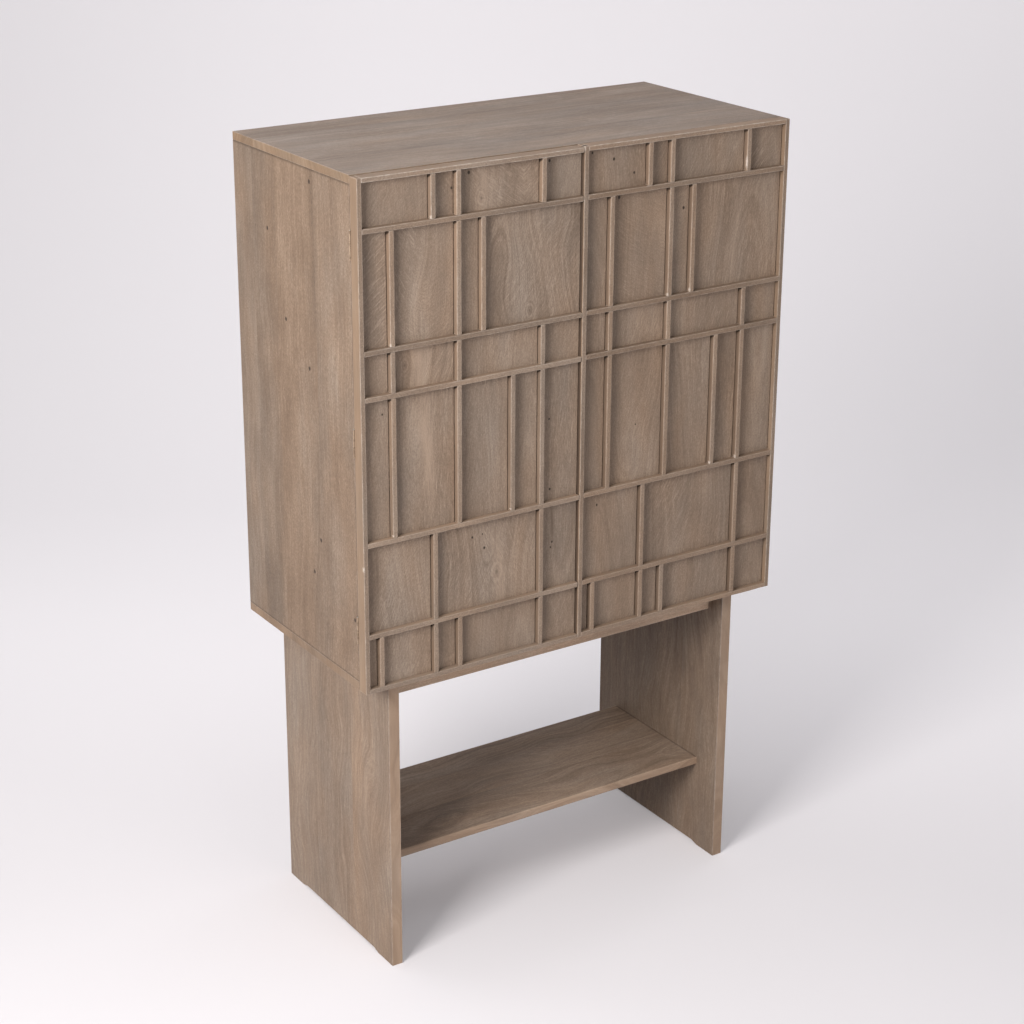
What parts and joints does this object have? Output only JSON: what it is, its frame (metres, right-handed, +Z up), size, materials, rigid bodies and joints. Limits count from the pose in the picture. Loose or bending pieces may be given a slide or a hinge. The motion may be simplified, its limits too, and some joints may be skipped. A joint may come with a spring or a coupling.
{
  "type": "bar cabinet with fold out shelf",
  "caption": "Tall wooden bar cabinet on plank legs with an open lower shelf, two lattice-front doors and a fold-out serving shelf inside.",
  "frame": {"origin": "on the floor at the middle of the footprint (middle of the bounding box's bottom)", "axes": "+Z up, -Y towards the door fronts, +X to the right of someone facing the doors"},
  "size_m": [0.9046, 0.443, 1.505],
  "materials": {
    "top_wood": "grey-washed plank, matt, grain left to right",
    "side_wood": "grey-brown washed plank, matt, upright grain",
    "door_wood": "grey-brown washed boards with knots, matt",
    "lattice_wood": "pale grey-brown sawn strips, matt, worn arrises",
    "interior_wood": "grey-brown washed board, satin",
    "leaf_wood": "grey-brown washed board, satin",
    "back_wood": "thin veneered panel, matt",
    "stand_wood": "grey-brown washed plank, matt",
    "dowel_wood": "plain beech",
    "hinge_steel": "antiqued, satin",
    "pin_steel": "satin",
    "screw_steel": "antiqued, satin",
    "magnet_steel": "dull nickel",
    "strike_steel": "satin nickel",
    "catch_plastic": "dark brown, matt",
    "bumper_rubber": "soft, matt",
    "pull_brass": "aged, satin"
  },
  "bodies": {
    "cabinet": {"adjustable_shelf": "interior_wood", "back_panel": "back_wood", "bottom_slab": "top_wood", "carcass_dowels": "dowel_wood", "case_hinge_screws": "screw_steel", "catch_housings": "catch_plastic", "catch_magnets": "magnet_steel", "centre_divider": "interior_wood", "cubby_dividers": "interior_wood", "cubby_shelves": "interior_wood", "fold_hinge_pins": "pin_steel", "fold_hinge_shelf_leaves": "hinge_steel", "fold_hinge_shelf_screws": "screw_steel", "front_apron": "stand_wood", "left_hinge_case_leaves": "hinge_steel", "left_hinge_pins": "pin_steel", "left_leg_panel": "stand_wood", "left_mid_shelf": "interior_wood", "left_side_panel": "side_wood", "lower_shelf": "stand_wood", "rear_apron": "stand_wood", "right_hinge_case_leaves": "hinge_steel", "right_hinge_pins": "pin_steel", "right_leg_panel": "stand_wood", "right_side_panel": "side_wood", "serving_shelf": "interior_wood", "shelf_pins": "pin_steel", "stand_dowels": "dowel_wood", "stand_screws": "screw_steel", "stemware_battens": "interior_wood", "stemware_lips": "interior_wood", "top_slab": "top_wood"},
    "left_door": {"left_door_stile": "lattice_wood", "left_door_bottom_rail": "lattice_wood", "left_door_top_rail": "lattice_wood", "left_door_core": "door_wood", "left_door_lattice_rails": "lattice_wood", "left_door_muntins": "lattice_wood", "left_door_field_boards": "door_wood", "left_door_strike_plate": "strike_steel", "left_door_bumpers": "bumper_rubber", "left_hinge_door_leaves": "hinge_steel", "left_door_hinge_screws": "screw_steel"},
    "right_door": {"right_door_meeting_stile": "lattice_wood", "right_door_hinge_stile": "lattice_wood", "right_door_bottom_rail": "lattice_wood", "right_door_top_rail": "lattice_wood", "right_door_core": "door_wood", "right_door_lattice_rails": "lattice_wood", "right_door_muntins": "lattice_wood", "right_door_field_boards": "door_wood", "right_door_strike_plate": "strike_steel", "right_door_bumpers": "bumper_rubber", "right_hinge_door_leaves": "hinge_steel", "right_door_hinge_screws": "screw_steel"},
    "fold_shelf": {"fold_out_leaf": "leaf_wood", "fold_shelf_pull": "pull_brass", "fold_hinge_flap_leaves": "hinge_steel", "fold_hinge_flap_screws": "screw_steel"}
  },
  "joints": [
    {"name": "left_door_hinge", "type": "hinge", "parent": "cabinet", "child": "left_door", "pos_m": [-0.4505, -0.19675, 1.045], "axis": [0, 0, -1], "range_deg": [0, 120]},
    {"name": "right_door_hinge", "type": "hinge", "parent": "cabinet", "child": "right_door", "pos_m": [0.4505, -0.19675, 1.0465], "axis": [0, 0, 1], "range_deg": [0, 120]},
    {"name": "fold_shelf_hinge", "type": "hinge", "parent": "cabinet", "child": "fold_shelf", "pos_m": [0.221, -0.1725, 1.045], "axis": [1, 0, 0], "range_deg": [0, 180]}
  ],
  "couplings": [
    {"joint": "fold_shelf_hinge", "follows": "right_door_hinge", "ratio": 1.5}
  ]
}
